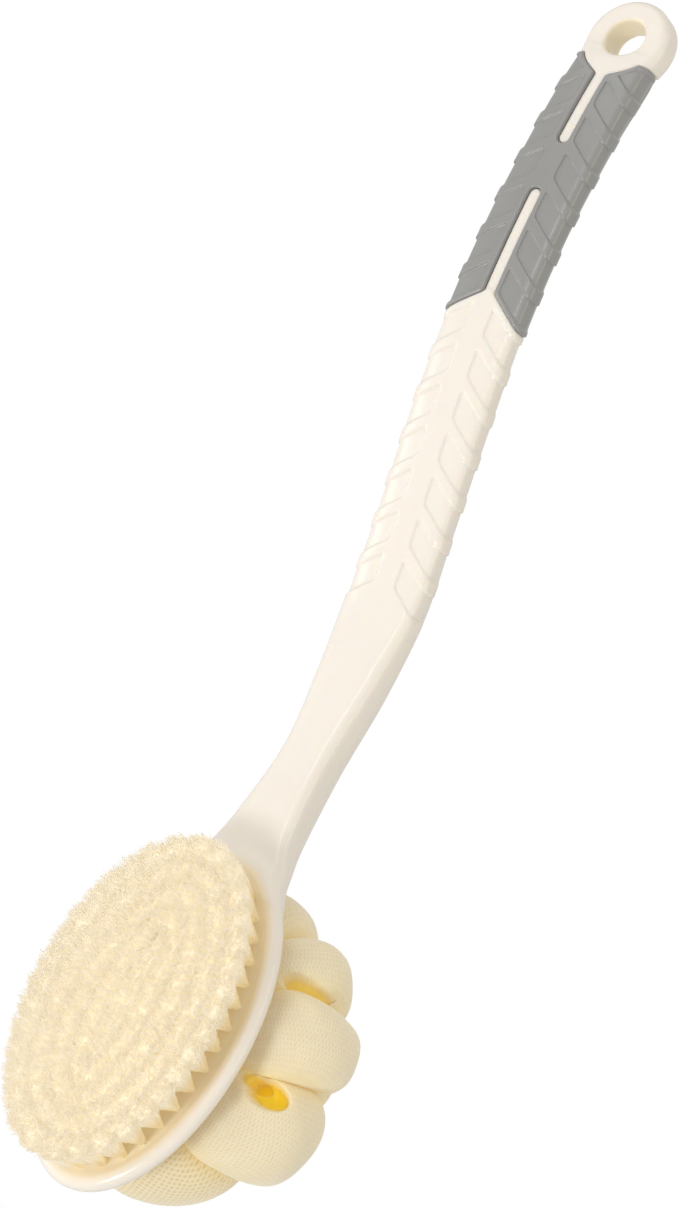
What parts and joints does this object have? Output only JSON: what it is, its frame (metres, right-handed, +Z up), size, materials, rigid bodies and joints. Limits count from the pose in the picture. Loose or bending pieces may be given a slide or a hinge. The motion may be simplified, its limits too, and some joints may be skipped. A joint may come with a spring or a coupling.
{
  "type": "loofah back scrubber",
  "caption": "Long-handled bath brush: oval bristle head with a netting pouf tied on its back, rubber grip and a hanging eye.",
  "frame": {"origin": "centre of the hanging eye at the end of the handle", "axes": "+Z up along the handle as it hangs, -Y the way the bristles face, +Y the pouf's side, X across the brush; the head is at the bottom"},
  "size_m": [0.1019, 0.0793, 0.3755],
  "materials": {
    "ivory_plastic": "gloss",
    "grey_rubber": "satin",
    "bristle": "satin",
    "netting": "matte",
    "tie_cord": "matte"
  },
  "bodies": {
    "handle": {"handle": "ivory_plastic", "grip_sleeve": "grey_rubber", "tuft_ring_1": "bristle", "tuft_ring_2": "bristle", "tuft_ring_3": "bristle", "tuft_ring_4": "bristle", "tuft_row_middle": "bristle"},
    "pouf": {"pouf_fold_1": "netting", "pouf_fold_2": "netting", "pouf_fold_3": "netting", "pouf_fold_4": "netting", "pouf_fold_5": "netting", "pouf_fold_6": "netting", "pouf_fold_7": "netting", "pouf_fold_8": "netting", "pouf_fold_9": "netting", "pouf_fold_10": "netting", "pouf_inner_fold_1": "netting", "pouf_inner_fold_2": "netting", "pouf_inner_fold_3": "netting", "pouf_inner_fold_4": "netting", "pouf_inner_fold_5": "netting", "pouf_inner_fold_6": "netting", "pouf_core": "netting", "cinch_cord": "tie_cord", "cinch_knot": "tie_cord"}
  },
  "joints": [
    {"name": "pouf_swivel", "type": "hinge", "parent": "handle", "child": "pouf", "pos_m": [0, -0.0088, -0.31], "axis": [0, 0.9935, -0.1141], "range_deg": [-25, 25]}
  ]
}
